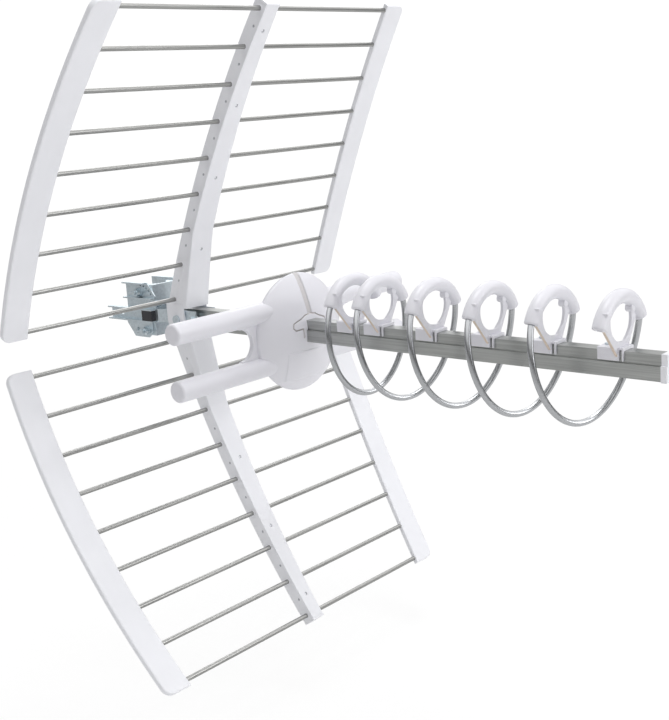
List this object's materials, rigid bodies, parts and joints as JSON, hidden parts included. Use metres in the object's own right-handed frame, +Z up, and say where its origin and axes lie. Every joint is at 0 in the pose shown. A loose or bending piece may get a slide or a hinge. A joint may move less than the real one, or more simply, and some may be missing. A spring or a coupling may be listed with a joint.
{
  "type": "helical uhf antenna",
  "caption": "Outdoor UHF television aerial with a helix on a boom, a domed dipole box and a two-panel rod reflector on a tilting mast clamp",
  "frame": {"origin": "on the mast's axis, level with the middle of the boom", "axes": "+X forward along the boom towards the helix, +Y along the reflector rods, +Z up the mast"},
  "size_m": [0.783, 0.5468, 0.7508],
  "materials": {
    "galvanised": "satin zinc",
    "black_plastic": "matte",
    "boom_aluminium": "drawn, satin",
    "rod_aluminium": "drawn, bright",
    "white_plastic": "satin",
    "warm_plastic": "satin gloss",
    "board_green": "matte",
    "socket_nickel": "bright"
  },
  "bodies": {
    "mount": {"mast_jaw": "galvanised", "u_bolts": "galvanised", "u_bolt_washers": "galvanised", "u_bolt_nuts": "galvanised", "tilt_studs": "galvanised", "stud_washers": "galvanised", "upper_wing_nut": "galvanised", "lower_wing_nut": "galvanised", "far_stud_nuts": "galvanised"},
    "antenna": {"tilt_arm_near": "galvanised", "tilt_arm_far": "galvanised", "arm_plug": "black_plastic", "boom": "boom_aluminium", "boom_front_cap": "white_plastic", "boom_rear_cap": "white_plastic", "cross_bolts": "galvanised", "cross_nuts": "galvanised", "arm_bushes": "galvanised", "upper_spine": "white_plastic", "lower_spine": "white_plastic", "upper_spine_cap": "white_plastic", "lower_spine_cap": "white_plastic", "upper_left_bar": "white_plastic", "upper_right_bar": "white_plastic", "lower_left_bar": "white_plastic", "lower_right_bar": "white_plastic", "upper_rod_1": "rod_aluminium", "upper_rod_2": "rod_aluminium", "upper_rod_3": "rod_aluminium", "upper_rod_4": "rod_aluminium", "upper_rod_5": "rod_aluminium", "upper_rod_6": "rod_aluminium", "upper_rod_7": "rod_aluminium", "upper_rod_8": "rod_aluminium", "upper_rod_9": "rod_aluminium", "lower_rod_1": "rod_aluminium", "lower_rod_2": "rod_aluminium", "lower_rod_3": "rod_aluminium", "lower_rod_4": "rod_aluminium", "lower_rod_5": "rod_aluminium", "lower_rod_6": "rod_aluminium", "lower_rod_7": "rod_aluminium", "lower_rod_8": "rod_aluminium", "lower_rod_9": "rod_aluminium", "dipole_housing": "warm_plastic", "dipole_cover": "warm_plastic", "dipole_element_left": "rod_aluminium", "dipole_element_right": "rod_aluminium", "balun_board": "board_green", "coax_socket": "socket_nickel", "hook_1": "warm_plastic", "hook_2": "warm_plastic", "hook_3": "warm_plastic", "hook_4": "warm_plastic", "hook_5": "warm_plastic", "hook_6": "warm_plastic", "hook_screws": "galvanised", "helix_rod": "rod_aluminium"}
  },
  "joints": [
    {"name": "tilt", "type": "hinge", "parent": "mount", "child": "antenna", "pos_m": [-0.008, 0, 0.032], "axis": [0, -1, 0], "range_deg": [0, 20]}
  ]
}
